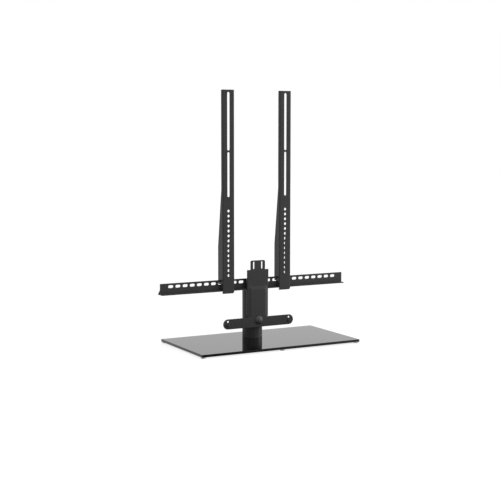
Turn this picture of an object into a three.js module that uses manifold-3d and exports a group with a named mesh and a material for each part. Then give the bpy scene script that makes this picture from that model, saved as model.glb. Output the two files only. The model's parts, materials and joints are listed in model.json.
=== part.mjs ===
// Floor-standing or tabletop TV stand: glass foot, round swivelling column,
// channel adapter with slotted head plate, slotted crossbar, two sliding
// rails that hook over the crossbar, and a soundbar bracket.
// Millimetres, +Z up, front towards -Y. The origin is the middle of the foot
// on the surface that the stand stands on. Inside the mast group the column
// axis is X = 0, Y = 0.
import * as THREE from 'three';
import { mergeVertices } from 'three/addons/utils/BufferGeometryUtils.js';
import Module from 'manifold-3d';

const wasm = await Module();
wasm.setup();

// General fits
const seat = 0.1;
const fit = 0.3;
const overrun = 2;

// Facet counts
const columnFacets = 40;
const boltFacets = 14;
const padFacets = 20;
const capFacets = 24;
const capRings = 5;
const bendSteps = 3;
const cornerSteps = 5;
const slotSteps = 5;
const lobeSteps = 10;

// Pads under the glass
const padDiameter = 15;
const padThickness = 3.9;
const padSideInset = 8;
const padFrontInset = 8;
const padBackInset = 10;

// Glass foot
const glassWidth = 546;
const glassDepth = 297;
const glassThickness = 8;
const glassChamfer = 0.5;
const glassHoleDiameter = 9;

// Column position behind the middle of the foot, and its tube
const columnSetBack = 53.5;
const tubeDiameter = 63;
const tubeWall = 2.5;
const tubeLength = 146.7;
const capThickness = 3;
const capSkirtDepth = 8;
const capSkirtWall = 2;

// Swivel at the foot of the column
const swivelLimit = 30;
const slipRingThickness = 1;
const pivotClearance = 1;
const pivotFlangeThickness = 6;
const pivotHubDiameter = 22;
const pivotHubHeight = 6.9;
const studDiameter = 12;
const studEnd = 2;
const stopPinDiameter = 5;
const stopPinCircle = 40;
const stopPinRoot = 4;
const stopPinRecess = 2;
const stopMargin = 0.5;
const plugThickness = 6;
const bearingWasherDiameter = 28;
const bearingWasherThickness = 2;
const springDiameter = 26;
const springStack = 4;
const springSheet = 1;
const lockNutAcrossFlats = 19;
const lockNutHeight = 8;

// Plate and screws below the glass
const underPlateDiameter = 90;
const floorClearance = 0.5;
const baseScrewCount = 3;
const baseScrewCircle = 36;
const baseScrewDiameter = 6;
const baseScrewHeadDiameter = 12;
const baseScrewHeadThickness = 1.3;
const baseScrewShort = 1;

// Channel adapter on the front of the column
const saddleSeat = 3.5;
const channelSheet = 3;
const channelWidth = 75;
const channelDepth = 7;
const channelBend = 3.5;
const tongueWidth = 43;
const tongueMargin = 4.6;
const shoulderRise = 12.5;
const shoulderCorner = 10;
const panelWidth = 67.6;
const panelRaise = 3.5;
const panelSideSlant = 8.8;
const panelEndSlant = 11;
const panelHeadMargin = 2.4;
const headPlateRise = 28.3;
const tabWidth = 50.8;
const tabHeight = 29.1;
const tabCorner = 5;
const tabSlotSpacing = 28.6;
const tabSlotWidth = 5.4;
const tabSlotLength = 23.7;
const tabSlotTopMargin = 3.4;

// Saddles and clamp bolts
const saddleWidth = 36;
const lowerSaddleHeight = 29;
const upperSaddleHeight = 30;
const upperBoltDrop = 20;
const clampBoltDiameter = 8;
const clampHeadDiameter = 14;
const clampHeadThickness = 4.4;
const threadBossWall = 2.7;
const threadBossReach = 10.5;
const threadEnd = 2;
const rearWasherSize = 22;
const rearWasherThickness = 4.5;
const domeNutAcrossFlats = 13;
const domeNutHexHeight = 7;
const domeNutDome = 6;

// Soundbar bracket
const bracketRise = 53.25;
const bracketLength = 248;
const bracketHeight = 31.7;
const bracketSheet = 2.5;
const bracketBoltRise = 5.6;
const bracketHoleDiameter = 6.2;
const bracketHoleInset = 0.2;
const bracketHoleRise = 8.1;
const bracketScrewDrop = 3.7;
const bracketScrewDiameter = 5;
const bracketScrewHeadDiameter = 9;
const bracketScrewHeadThickness = 2;
const bracketCollarDiameter = 7;
const bracketCollarLength = 1.5;
const bracketNutAcrossFlats = 8;
const bracketNutThickness = 4;
const bracketScrewTail = 1.5;
const bracketCapDiameter = 27;
const bracketCapHeight = 7;
const bracketCapRim = 1;
const bracketCapCavityGap = 0.6;

// Slotted crossbar
const barClearance = 4;
const barLength = 646;
const barHeight = 34.4;
const barSheet = 3;
const barBlockDepth = 18.3;
const barFootReach = 13.7;
const barBraceDepth = 13.7;
const barBraceTop = 16;
const barSlotRow = 24.4;
const barSlotLength = 17.2;
const barSlotHeight = 8.6;
const barSlotPitch = 24;
const barSlotEndMargin = 12;
const barBlockHeight = 20;
const barBoltDiameter = 8;
const barBoltHeadDiameter = 14;
const barBoltHeadThickness = 4.4;
const barWasherDiameter = 16;
const barWasherThickness = 1.6;
const barBoltSlot = 1;
const barBoltEngagement = 14;

// Sliding rails
const railSpacing = 200;
const railLength = 625.5;
const railWidth = 40.7;
const railSheet = 2.5;
const railBend = 3.5;
const railUpperDepth = 10.2;
const railLowerDepth = 33.3;
const railTaperTop = 323.5;
const railTaperBottom = 145.5;
const railStandOff = 14.6;
const railTopMargin = 6.9;
const railTopSlotWidth = 8.8;
const railSlotWidth = 7.9;
const railLongSlotA = 177.4;
const railLongSlotB = 137.6;
const railSlotBridge = 4.8;
const railShortStart = 42.8;
const railShortSlot = 8.6;
const railShortPitch = 15.34;
const railShortEndMargin = 10;
const hookPlay = 0.5;
const hookNoseDepth = 13.5;
const footPlay = 1.5;
const lipDrop = 5;
const lipReach = 14.8;
const lockScrewDiameter = 6;
const lockScrewInset = 6;
const lockScrewRecess = 0.3;

// Heights, from the surface upwards
const glassBottom = padThickness + seat;
const glassTop = glassBottom + glassThickness;
const slipRingBottom = glassTop + seat;
const slipRingTop = slipRingBottom + slipRingThickness;
const tubeBottom = slipRingTop + seat;
const tubeTop = tubeBottom + tubeLength;
const capBottom = tubeTop + seat;
const capTop = capBottom + capThickness;
const barBottom = capTop + barClearance;
const barFootTop = barBottom + barSheet;
const barTop = barBottom + barHeight;
const barSlotZ = barBottom + barSlotRow;
const headPlateTop = barTop + headPlateRise;
const tabTop = headPlateTop + tabHeight;
const bracketZ = glassTop + bracketRise;
const bracketBottom = bracketZ - bracketHeight / 2;
const lowerBoltZ = bracketZ + bracketBoltRise;
const upperBoltZ = tubeTop - upperBoltDrop;
const tongueBottom = bracketBottom + tongueMargin;
const shoulderZ = bracketZ + shoulderRise;

// Depths in the mast, from the column axis
const tubeRadius = tubeDiameter / 2;
const boreRadius = tubeRadius - tubeWall;
const webBack = -(tubeRadius + saddleSeat);
const webFront = webBack - channelSheet;
const channelBack = webFront + channelDepth;
const panelFront = webFront - panelRaise;
const bracketBack = panelFront - seat;
const bracketFront = bracketBack - bracketSheet;
const barFront = webBack + barBlockDepth;
const barBack = barFront + barSheet;
const barFootFront = barFront - barFootReach;
const barRear = barBack + barBraceDepth;
const railInner = barFront - railStandOff;
const railFront = railInner - railSheet;

// Closed meshes as solids for joining and cutting
function toSolid(geometry) {
  const bare = geometry.clone();
  bare.deleteAttribute('normal');
  bare.deleteAttribute('uv');
  const merged = mergeVertices(bare);
  const mesh = new wasm.Mesh({
    numProp: 3,
    vertProperties: new Float32Array(merged.attributes.position.array),
    triVerts: new Uint32Array(merged.index.array),
  });
  return new wasm.Manifold(mesh);
}

function toGeometry(solid) {
  const mesh = solid.getMesh();
  const geometry = new THREE.BufferGeometry();
  geometry.setAttribute('position', new THREE.BufferAttribute(mesh.vertProperties, 3));
  geometry.setIndex(new THREE.BufferAttribute(mesh.triVerts, 1));
  geometry.computeVertexNormals();
  return geometry;
}

function joinAll(solids) {
  return solids.reduce((whole, next) => whole.add(next));
}

function cutAll(solid, cutters) {
  return solid.subtract(joinAll(cutters));
}

// Primitive solids between two planes
function slab(x0, x1, y0, y1, z0, z1) {
  const geometry = new THREE.BoxGeometry(x1 - x0, y1 - y0, z1 - z0);
  geometry.translate((x0 + x1) / 2, (y0 + y1) / 2, (z0 + z1) / 2);
  return toSolid(geometry);
}

function prism(points, depth) {
  return new THREE.ExtrudeGeometry(new THREE.Shape(points), { depth, bevelEnabled: false });
}

function prismZ(points, z0, z1) {
  const geometry = prism(points, z1 - z0);
  geometry.translate(0, 0, z0);
  return toSolid(geometry);
}

// Outline in (Y, Z), running along X
function prismX(points, x0, x1) {
  const geometry = prism(points, x1 - x0);
  const turn = new THREE.Matrix4().makeBasis(
    new THREE.Vector3(0, 1, 0),
    new THREE.Vector3(0, 0, 1),
    new THREE.Vector3(1, 0, 0),
  );
  geometry.applyMatrix4(turn);
  geometry.translate(x0, 0, 0);
  return toSolid(geometry);
}

// Outline in (X, Z), running along Y
function prismY(points, y0, y1) {
  const geometry = prism(points, y1 - y0);
  const turn = new THREE.Matrix4().makeBasis(
    new THREE.Vector3(1, 0, 0),
    new THREE.Vector3(0, 0, 1),
    new THREE.Vector3(0, -1, 0),
  );
  geometry.applyMatrix4(turn);
  geometry.translate(0, y1, 0);
  return toSolid(geometry);
}

function rodZ(radius, z0, z1, facets, x = 0, y = 0) {
  const geometry = new THREE.CylinderGeometry(radius, radius, z1 - z0, facets);
  geometry.rotateX(Math.PI / 2);
  geometry.translate(x, y, (z0 + z1) / 2);
  return toSolid(geometry);
}

function rodY(radius, y0, y1, facets, x, z) {
  const geometry = new THREE.CylinderGeometry(radius, radius, y1 - y0, facets);
  geometry.translate(x, (y0 + y1) / 2, z);
  return toSolid(geometry);
}

// Turned bodies: profile points are (radius, height); the profile is closed
function turnedZ(profile, facets) {
  const closed = [...profile, profile[0]];
  const geometry = new THREE.LatheGeometry(closed, facets);
  geometry.rotateX(Math.PI / 2);
  return toSolid(geometry);
}

function point(x, y) {
  return new THREE.Vector2(x, y);
}

function arc(cx, cy, radius, from, to, steps) {
  const points = [];
  for (let i = 0; i <= steps; i += 1) {
    const angle = THREE.MathUtils.degToRad(from + ((to - from) * i) / steps);
    points.push(point(cx + radius * Math.cos(angle), cy + radius * Math.sin(angle)));
  }
  return points;
}

// Slot outlines with round ends
function levelSlot(x, z, length, height) {
  const radius = height / 2;
  const reach = length / 2 - radius;
  return [
    ...arc(x + reach, z, radius, -90, 90, slotSteps),
    ...arc(x - reach, z, radius, 90, 270, slotSteps),
  ];
}

function uprightSlot(x, z0, z1, width) {
  const radius = width / 2;
  return [
    ...arc(x, z1 - radius, radius, 0, 180, slotSteps),
    ...arc(x, z0 + radius, radius, 180, 360, slotSteps),
  ];
}

function hexagon(acrossFlats) {
  return arc(0, 0, acrossFlats / Math.sqrt(3), 0, 300, 5);
}

function hexZ(acrossFlats, z0, z1) {
  return prismZ(hexagon(acrossFlats), z0, z1);
}

function hexY(acrossFlats, y0, y1, x, z) {
  const points = hexagon(acrossFlats).map((p) => point(p.x + x, p.y + z));
  return prismY(points, y0, y1);
}

// Scene helpers
function finish(color, roughness, metalness) {
  return new THREE.MeshStandardMaterial({ color, roughness, metalness });
}

const darkMetal = () => finish(0x3a3a3a, 0.45, 0.6);
const blackGlass = () => finish(0x0c0c0d, 0.04, 0);
const clearRubber = () => finish(0xd8dad8, 0.5, 0);
const zincSteel = () => finish(0xa6a8ab, 0.35, 0.9);
const blackSteel = () => finish(0x1c1c1d, 0.4, 0.8);
const blackPlastic = () => finish(0x2b2b2c, 0.5, 0);

function place(group, name, solid, material) {
  const mesh = new THREE.Mesh(toGeometry(solid), material);
  mesh.name = name;
  group.add(mesh);
}

const stand = new THREE.Group();
const mast = new THREE.Group();
mast.position.set(0, columnSetBack, 0);
const foot = new THREE.Group();
foot.position.set(0, columnSetBack, 0);
stand.add(foot, mast);

// Places of the three screws that hold the pivot to the glass
const baseScrewPlaces = [];
for (let i = 0; i < baseScrewCount; i += 1) {
  const angle = (i * 2 * Math.PI) / baseScrewCount - Math.PI / 2;
  const reach = baseScrewCircle / 2;
  baseScrewPlaces.push([reach * Math.cos(angle), reach * Math.sin(angle)]);
}

// Glass foot: a sheet with fine chamfers and three drilled holes
function glassSheet() {
  const halfWidth = glassWidth / 2 - glassChamfer;
  const halfDepth = glassDepth / 2 - glassChamfer;
  const shape = new THREE.Shape([
    point(-halfWidth, -halfDepth),
    point(halfWidth, -halfDepth),
    point(halfWidth, halfDepth),
    point(-halfWidth, halfDepth),
  ]);
  const geometry = new THREE.ExtrudeGeometry(shape, {
    depth: glassThickness - 2 * glassChamfer,
    bevelEnabled: true,
    bevelThickness: glassChamfer,
    bevelSize: glassChamfer,
    bevelSegments: 1,
  });
  geometry.translate(0, 0, glassBottom + glassChamfer);
  const holes = baseScrewPlaces.map(([x, y]) => rodZ(
    glassHoleDiameter / 2,
    glassBottom - overrun,
    glassTop + overrun,
    boltFacets,
    x,
    y + columnSetBack,
  ));
  return cutAll(toSolid(geometry), holes);
}
place(stand, 'glass_base', glassSheet(), blackGlass());

// Six pads under the glass, three along the front and three along the back
const padRows = [
  ['front', -(glassDepth / 2 - padFrontInset)],
  ['back', glassDepth / 2 - padBackInset],
];
const padColumns = [
  ['left', -(glassWidth / 2 - padSideInset)],
  ['middle', 0],
  ['right', glassWidth / 2 - padSideInset],
];
for (const [row, y] of padRows) {
  for (const [side, x] of padColumns) {
    const pad = rodZ(padDiameter / 2, 0, padThickness, padFacets, x, y);
    place(stand, `pad_${row}_${side}`, pad, clearRubber());
  }
}

// Steel disc below the glass, clear of the surface by the screw heads
const underPlateTop = glassBottom - seat;
const headBottom = floorClearance;
const headTop = headBottom + baseScrewHeadThickness;
const underPlateBottom = headTop + seat;
const underPlate = cutAll(
  rodZ(underPlateDiameter / 2, underPlateBottom, underPlateTop, columnFacets),
  baseScrewPlaces.map(([x, y]) => rodZ(
    baseScrewDiameter / 2 + fit,
    underPlateBottom - overrun,
    underPlateTop + overrun,
    boltFacets,
    x,
    y,
  )),
);
place(foot, 'under_plate', underPlate, blackSteel());

// Pivot: flange on the glass, hub for the plug, and stud
const pivotRadius = boreRadius - pivotClearance;
const pivotBottom = glassTop + seat;
const pivotFlangeTop = pivotBottom + pivotFlangeThickness;
const hubTop = pivotFlangeTop + pivotHubHeight;
const plugBottom = hubTop + seat;
const plugTop = plugBottom + plugThickness;
const washerBottom = plugTop + seat;
const washerTop = washerBottom + bearingWasherThickness;
const springBottom = washerTop + seat;
const springTop = springBottom + springStack;
const lockNutBottom = springTop + seat;
const lockNutTop = lockNutBottom + lockNutHeight;
const studTop = lockNutTop + studEnd;
const stopPinY = stopPinCircle / 2;
const pivotBody = joinAll([
  rodZ(pivotRadius, pivotBottom, pivotFlangeTop, columnFacets),
  rodZ(pivotHubDiameter / 2, pivotBottom, hubTop, boltFacets),
  rodZ(studDiameter / 2, pivotBottom, studTop, boltFacets),
]);
const pivotCuts = baseScrewPlaces.map(([x, y]) => rodZ(
  baseScrewDiameter / 2 + fit,
  pivotBottom - overrun,
  pivotFlangeTop + overrun,
  boltFacets,
  x,
  y,
));
pivotCuts.push(rodZ(
  stopPinDiameter / 2 + fit,
  pivotFlangeTop - stopPinRoot - seat,
  pivotFlangeTop + overrun,
  boltFacets,
  0,
  stopPinY,
));
place(foot, 'pivot_flange', cutAll(pivotBody, pivotCuts), zincSteel());

baseScrewPlaces.forEach(([x, y], index) => {
  const screw = joinAll([
    rodZ(baseScrewHeadDiameter / 2, headBottom, headTop, boltFacets, x, y),
    rodZ(baseScrewDiameter / 2, headBottom, pivotFlangeTop - baseScrewShort, boltFacets, x, y),
  ]);
  place(foot, `base_screw_${index + 1}`, screw, zincSteel());
});

const stopPin = rodZ(
  stopPinDiameter / 2,
  pivotFlangeTop - stopPinRoot,
  plugTop - stopPinRecess,
  boltFacets,
  0,
  stopPinY,
);
place(foot, 'swivel_stop_pin', stopPin, zincSteel());

const slipRing = rodZ(tubeRadius, slipRingBottom, slipRingTop, columnFacets).subtract(
  rodZ(pivotRadius + fit, slipRingBottom - overrun, slipRingTop + overrun, columnFacets),
);
place(foot, 'slip_ring', slipRing, blackPlastic());

function ringZ(outerDiameter, z0, z1) {
  return rodZ(outerDiameter / 2, z0, z1, boltFacets).subtract(
    rodZ(studDiameter / 2 + fit, z0 - overrun, z1 + overrun, boltFacets),
  );
}
place(foot, 'bearing_washer', ringZ(bearingWasherDiameter, washerBottom, washerTop), zincSteel());

// A pair of disc springs, rim to rim
const springRadius = springDiameter / 2;
const springBore = studDiameter / 2 + fit;
const springMiddle = (springBottom + springTop) / 2;
const springPair = turnedZ([
  point(springBore, springBottom),
  point(springRadius, springMiddle - springSheet / 2),
  point(springRadius, springMiddle + springSheet / 2),
  point(springBore, springTop),
  point(springBore, springTop - springSheet),
  point(springRadius - springSheet, springMiddle),
  point(springBore, springBottom + springSheet),
], boltFacets);
place(foot, 'disc_springs', springPair, blackSteel());

const lockNut = hexZ(lockNutAcrossFlats, lockNutBottom, lockNutTop).subtract(
  rodZ(studDiameter / 2 + fit, lockNutBottom - overrun, lockNutTop + overrun, boltFacets),
);
place(foot, 'lock_nut', lockNut, zincSteel());

// Column tube with its cross holes
const clampBore = clampBoltDiameter / 2 + fit;
const bossRadius = clampBoltDiameter / 2 + fit + threadBossWall;
const tubeCuts = [
  rodZ(boreRadius, tubeBottom - overrun, tubeTop + overrun, columnFacets),
  rodY(clampBore, -(tubeRadius + overrun), tubeRadius + overrun, boltFacets, 0, lowerBoltZ),
  rodY(clampBore, 0, tubeRadius + overrun, boltFacets, 0, upperBoltZ),
  rodY(bossRadius + fit, -(tubeRadius + overrun), 0, boltFacets, 0, upperBoltZ),
];
const tube = cutAll(rodZ(tubeRadius, tubeBottom, tubeTop, columnFacets), tubeCuts);
place(mast, 'column_tube', tube, darkMetal());

// Plug in the foot of the tube, with the arc slot that stops the swivel
function arcSlot(radius, halfWidth, halfAngle) {
  const outer = arc(0, 0, radius + halfWidth, 90 - halfAngle, 90 + halfAngle, lobeSteps);
  const inner = arc(0, 0, radius - halfWidth, 90 + halfAngle, 90 - halfAngle, lobeSteps);
  const ends = [90 - halfAngle, 90 + halfAngle].map((degrees) => {
    const angle = THREE.MathUtils.degToRad(degrees);
    return rodZ(
      halfWidth,
      plugBottom - overrun,
      plugTop + overrun,
      boltFacets,
      radius * Math.cos(angle),
      radius * Math.sin(angle),
    );
  });
  return joinAll([prismZ([...outer, ...inner], plugBottom - overrun, plugTop + overrun), ...ends]);
}
const plug = cutAll(rodZ(boreRadius - fit, plugBottom, plugTop, columnFacets), [
  rodZ(studDiameter / 2 + fit, plugBottom - overrun, plugTop + overrun, boltFacets),
  arcSlot(stopPinY, stopPinDiameter / 2 + fit, swivelLimit + stopMargin),
]);
place(mast, 'tube_plug', plug, zincSteel());

// Cap on the top of the tube
const capBody = joinAll([
  rodZ(tubeRadius, capBottom, capTop, columnFacets),
  rodZ(boreRadius - fit, capBottom - capSkirtDepth, capTop, columnFacets),
]).subtract(
  rodZ(
    boreRadius - fit - capSkirtWall,
    capBottom - capSkirtDepth - overrun,
    capBottom,
    columnFacets,
  ),
);
place(mast, 'tube_cap', capBody, blackPlastic());

// Section of a sheet folded into a channel: flat face and two sides
function foldedSection(half, front, back, sheet, bend) {
  const cx = half - bend;
  const cy = front + bend;
  const inner = bend - sheet;
  return [
    point(-half, back),
    ...arc(-cx, cy, bend, 180, 270, bendSteps),
    ...arc(cx, cy, bend, 270, 360, bendSteps),
    point(half, back),
    point(half - sheet, back),
    ...arc(cx, cy, inner, 360, 270, bendSteps),
    ...arc(-cx, cy, inner, 270, 180, bendSteps),
    point(sheet - half, back),
  ];
}

// Channel adapter: folded web with a pressed panel, tongue, head plate and tab
const channelHalf = channelWidth / 2;
const channelFlatHalf = channelHalf - channelBend;
const tongueHalf = tongueWidth / 2;
const sideOuter = channelHalf + overrun;
const channelFace = [
  point(-tongueHalf, tongueBottom),
  point(tongueHalf, tongueBottom),
  point(tongueHalf, shoulderZ),
  ...arc(
    channelHalf - shoulderCorner,
    shoulderZ + shoulderCorner,
    shoulderCorner,
    270,
    360,
    cornerSteps,
  ),
  point(channelHalf, barTop + overrun),
  point(-channelHalf, barTop + overrun),
  ...arc(
    shoulderCorner - channelHalf,
    shoulderZ + shoulderCorner,
    shoulderCorner,
    180,
    270,
    cornerSteps,
  ),
  point(-tongueHalf, shoulderZ),
];
// The panel stands forward of the web, with slanted sides and a slanted top
// end, and runs out at the bottom. Its root reaches backwards, into the sheet
// or out of the hollow behind it.
const panelTop = barSlotZ - barBlockHeight / 2 - panelHeadMargin;
const panelTilt = Math.atan(panelRaise / panelSideSlant);
const panelHollowInset = channelSheet * Math.tan(panelTilt / 2);
function pressedPanel(inset, base, root) {
  const corners = [];
  const levels = [
    [base + root, 0, 0],
    [base, 0, 0],
    [base - panelRaise, panelSideSlant, panelEndSlant],
  ];
  for (const [y, sideSlant, endSlant] of levels) {
    const half = panelWidth / 2 - inset - sideSlant;
    for (const x of [-half, half]) {
      corners.push([x, y, tongueBottom - overrun]);
      corners.push([x, y, panelTop - inset - endSlant]);
    }
  }
  return wasm.Manifold.hull(corners);
}
const foldedPart = prismZ(
  foldedSection(channelHalf, webFront, channelBack, channelSheet, channelBend),
  tongueBottom,
  barTop,
)
  .add(pressedPanel(0, webFront, channelSheet / 2))
  .subtract(pressedPanel(panelHollowInset, webBack, overrun))
  .intersect(prismY(channelFace, panelFront - overrun, channelBack + overrun));
const tabHalf = tabWidth / 2;
const headOutline = [
  point(-channelHalf, barTop - channelSheet),
  point(channelHalf, barTop - channelSheet),
  point(channelHalf, headPlateTop),
  point(tabHalf, headPlateTop),
  ...arc(tabHalf - tabCorner, tabTop - tabCorner, tabCorner, 0, 90, cornerSteps),
  ...arc(tabCorner - tabHalf, tabTop - tabCorner, tabCorner, 90, 180, cornerSteps),
  point(-tabHalf, headPlateTop),
  point(-channelHalf, headPlateTop),
];
// The head plate starts above the folded sides, where the sheet is flat
const headFlat = prismY(headOutline, webFront, webBack).subtract(
  joinAll([-1, 1].map((side) => slab(
    Math.min(side * channelFlatHalf, side * sideOuter),
    Math.max(side * channelFlatHalf, side * sideOuter),
    webFront - overrun,
    webBack + overrun,
    barTop - channelSheet - overrun,
    barTop,
  ))),
);
const tabSlotTop = tabTop - tabSlotTopMargin;
const channelCuts = [-1, 1].map((side) => prismY(
  uprightSlot((side * tabSlotSpacing) / 2, tabSlotTop - tabSlotLength, tabSlotTop, tabSlotWidth),
  webFront - overrun,
  webBack + overrun,
));
channelCuts.push(rodY(clampBore, panelFront - overrun, webBack, boltFacets, 0, lowerBoltZ));
// Room for the foot of the crossbar, should the sides reach back to it
channelCuts.push(slab(
  -sideOuter,
  sideOuter,
  barFootFront - fit,
  channelBack + overrun,
  barBottom - fit,
  barFootTop + fit,
));
place(mast, 'mast_channel', cutAll(foldedPart.add(headFlat), channelCuts), darkMetal());

// Saddles between the round tube and the back of the panel
const saddleFront = webBack - panelRaise + seat;
function saddle(z, height) {
  const half = saddleWidth / 2;
  const side = Math.sqrt(tubeRadius * tubeRadius - half * half);
  return slab(-half, half, saddleFront, -side, z - height / 2, z + height / 2).subtract(
    rodZ(tubeRadius + fit, z - height, z + height, columnFacets),
  );
}
const lowerSaddle = saddle(lowerBoltZ, lowerSaddleHeight).subtract(
  rodY(clampBore, saddleFront - overrun, 0, boltFacets, 0, lowerBoltZ),
);
place(mast, 'saddle_lower', lowerSaddle, blackSteel());

const bossEnd = -(tubeRadius - threadBossReach);
const upperSaddle = saddle(upperBoltZ, upperSaddleHeight)
  .add(rodY(bossRadius, webBack + seat, bossEnd, boltFacets, 0, upperBoltZ))
  .subtract(rodY(clampBore, webBack + threadEnd, bossEnd + overrun, boltFacets, 0, upperBoltZ));
place(mast, 'saddle_upper', upperSaddle, blackSteel());

// Curved washers on the back of the tube
const rearFace = tubeRadius + rearWasherThickness;
function rearWasher(z) {
  const half = rearWasherSize / 2;
  const side = Math.sqrt(tubeRadius * tubeRadius - half * half);
  return cutAll(slab(-half, half, side, rearFace, z - half, z + half), [
    rodZ(tubeRadius + fit, z - rearWasherSize, z + rearWasherSize, columnFacets),
    rodY(clampBore, 0, rearFace + overrun, boltFacets, 0, z),
  ]);
}
place(mast, 'rear_washer_lower', rearWasher(lowerBoltZ), blackSteel());
place(mast, 'rear_washer_upper', rearWasher(upperBoltZ), blackSteel());

// Upper clamp bolt, from the back into the threaded boss
const clampRadius = clampBoltDiameter / 2;
const upperHead = rearFace + seat;
const upperBolt = joinAll([
  rodY(clampHeadDiameter / 2, upperHead, upperHead + clampHeadThickness, boltFacets, 0, upperBoltZ),
  rodY(clampRadius, webBack + threadEnd + fit, upperHead + seat, boltFacets, 0, upperBoltZ),
]);
place(mast, 'clamp_bolt_upper', upperBolt, blackSteel());

// Lower clamp bolt, through the bracket, the tongue and the tube
const lowerHead = bracketFront - seat;
const nutFront = rearFace + seat;
const nutBack = nutFront + domeNutHexHeight;
const lowerBolt = joinAll([
  rodY(clampHeadDiameter / 2, lowerHead - clampHeadThickness, lowerHead, boltFacets, 0, lowerBoltZ),
  rodY(clampRadius, lowerHead - seat, nutBack, boltFacets, 0, lowerBoltZ),
]);
place(mast, 'clamp_bolt_lower', lowerBolt, blackSteel());

function domeY(radius, height, y, z) {
  const sphere = (radius * radius + height * height) / (2 * height);
  const spread = THREE.MathUtils.radToDeg(Math.asin(radius / sphere));
  const profile = [point(0, 0)];
  profile.push(...arc(0, height - sphere, sphere, 90 - spread, 90, capRings).slice(0, -1));
  profile.push(point(0, height));
  const geometry = new THREE.LatheGeometry(profile, boltFacets);
  geometry.translate(0, y, z);
  return toSolid(geometry);
}
const domeNut = joinAll([
  hexY(domeNutAcrossFlats, nutFront, nutBack, 0, lowerBoltZ),
  domeY(domeNutAcrossFlats / 2 - fit, domeNutDome, nutBack - seat, lowerBoltZ),
]).subtract(rodY(clampBore, nutFront - overrun, nutBack + threadEnd, boltFacets, 0, lowerBoltZ));
place(mast, 'dome_nut', domeNut, zincSteel());

// Soundbar bracket: a long plate with round ends
const lobe = bracketHeight / 2;
const lobeX = bracketLength / 2 - lobe;
const bracketOutline = [
  ...arc(lobeX, bracketZ, lobe, -90, 90, lobeSteps),
  ...arc(-lobeX, bracketZ, lobe, 90, 270, lobeSteps),
];
const screwZ = bracketZ - bracketScrewDrop;
const bracketCuts = [rodY(
  clampBore,
  bracketFront - overrun,
  bracketBack + overrun,
  boltFacets,
  0,
  lowerBoltZ,
)];
for (const side of [-1, 1]) {
  bracketCuts.push(rodY(
    bracketHoleDiameter / 2,
    bracketFront - overrun,
    bracketBack + overrun,
    boltFacets,
    side * (lobeX - bracketHoleInset),
    bracketZ + bracketHoleRise,
  ));
  bracketCuts.push(rodY(
    bracketScrewDiameter / 2 + fit,
    bracketFront - overrun,
    bracketBack + overrun,
    boltFacets,
    side * lobeX,
    screwZ,
  ));
}
const bracket = cutAll(prismY(bracketOutline, bracketFront, bracketBack), bracketCuts);
place(mast, 'soundbar_bracket', bracket, darkMetal());

// Screws that stand proud of the bracket, each with a nut behind
for (const [name, side] of [['left', -1], ['right', 1]]) {
  const x = side * lobeX;
  const collarBack = bracketFront - seat;
  const collarFront = collarBack - bracketCollarLength;
  const nutStart = bracketBack + seat;
  const nutEnd = nutStart + bracketNutThickness;
  const screw = joinAll([
    rodY(
      bracketScrewHeadDiameter / 2,
      collarFront - bracketScrewHeadThickness,
      collarFront,
      boltFacets,
      x,
      screwZ,
    ),
    rodY(bracketCollarDiameter / 2, collarFront - seat, collarBack, boltFacets, x, screwZ),
    rodY(bracketScrewDiameter / 2, collarFront - seat, nutEnd + bracketScrewTail, boltFacets, x, screwZ),
  ]);
  place(mast, `bracket_screw_${name}`, screw, blackSteel());
  const nut = hexY(bracketNutAcrossFlats, nutStart, nutEnd, x, screwZ).subtract(
    rodY(bracketScrewDiameter / 2 + fit, nutStart - overrun, nutEnd + overrun, boltFacets, x, screwZ),
  );
  place(mast, `bracket_nut_${name}`, nut, zincSteel());
}

// Domed cap over the head of the lower clamp bolt
function bracketCap() {
  const radius = bracketCapDiameter / 2;
  const crown = bracketCapHeight - bracketCapRim;
  const sphere = (radius * radius + crown * crown) / (2 * crown);
  const spread = THREE.MathUtils.radToDeg(Math.asin(radius / sphere));
  const cavityRadius = clampHeadDiameter / 2 + bracketCapCavityGap;
  const cavityDepth = clampHeadThickness + bracketCapCavityGap;
  const profile = [
    point(0, bracketCapHeight),
    ...arc(0, bracketCapHeight - sphere, sphere, 90, 90 - spread, capRings).slice(1),
    point(radius, 0),
    point(cavityRadius, 0),
    point(cavityRadius, cavityDepth),
    point(0, cavityDepth),
  ].reverse();
  const geometry = new THREE.LatheGeometry(profile, capFacets);
  geometry.rotateX(Math.PI);
  geometry.translate(0, bracketFront - seat, lowerBoltZ);
  return toSolid(geometry);
}
place(mast, 'bracket_cap', bracketCap(), blackPlastic());

// Crossbar: web, forward foot and backward brace around an open triangle
const barHalf = barLength / 2;
const braceTopZ = barFootTop + barBraceTop - barSheet;
const braceRise = braceTopZ - barFootTop;
const braceSlope = Math.hypot(braceRise, barBraceDepth);
const braceOffset = (barSheet * braceSlope) / barBraceDepth;
const hollowTopZ = braceTopZ - braceOffset;
const hollowReach = ((hollowTopZ - barFootTop) * barBraceDepth) / braceRise;
const barOutline = [
  point(barFront, barTop),
  point(barFront, barFootTop),
  point(barFootFront, barFootTop),
  point(barFootFront, barBottom),
  point(barRear, barBottom),
  point(barRear, barFootTop),
  point(barBack, braceTopZ),
  point(barBack, barTop),
];
const barHollow = [
  point(barBack, barFootTop),
  point(barBack + hollowReach, barFootTop),
  point(barBack, hollowTopZ),
];
const barSlotsEachSide = Math.floor(
  (barHalf - barSlotEndMargin - barSlotLength / 2) / barSlotPitch,
);
const barCuts = [prismX(barHollow, -(barHalf + overrun), barHalf + overrun)];
for (let i = -barSlotsEachSide; i <= barSlotsEachSide; i += 1) {
  barCuts.push(prismY(
    levelSlot(i * barSlotPitch, barSlotZ, barSlotLength, barSlotHeight),
    barFront - overrun,
    barBack + overrun,
  ));
}
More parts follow.
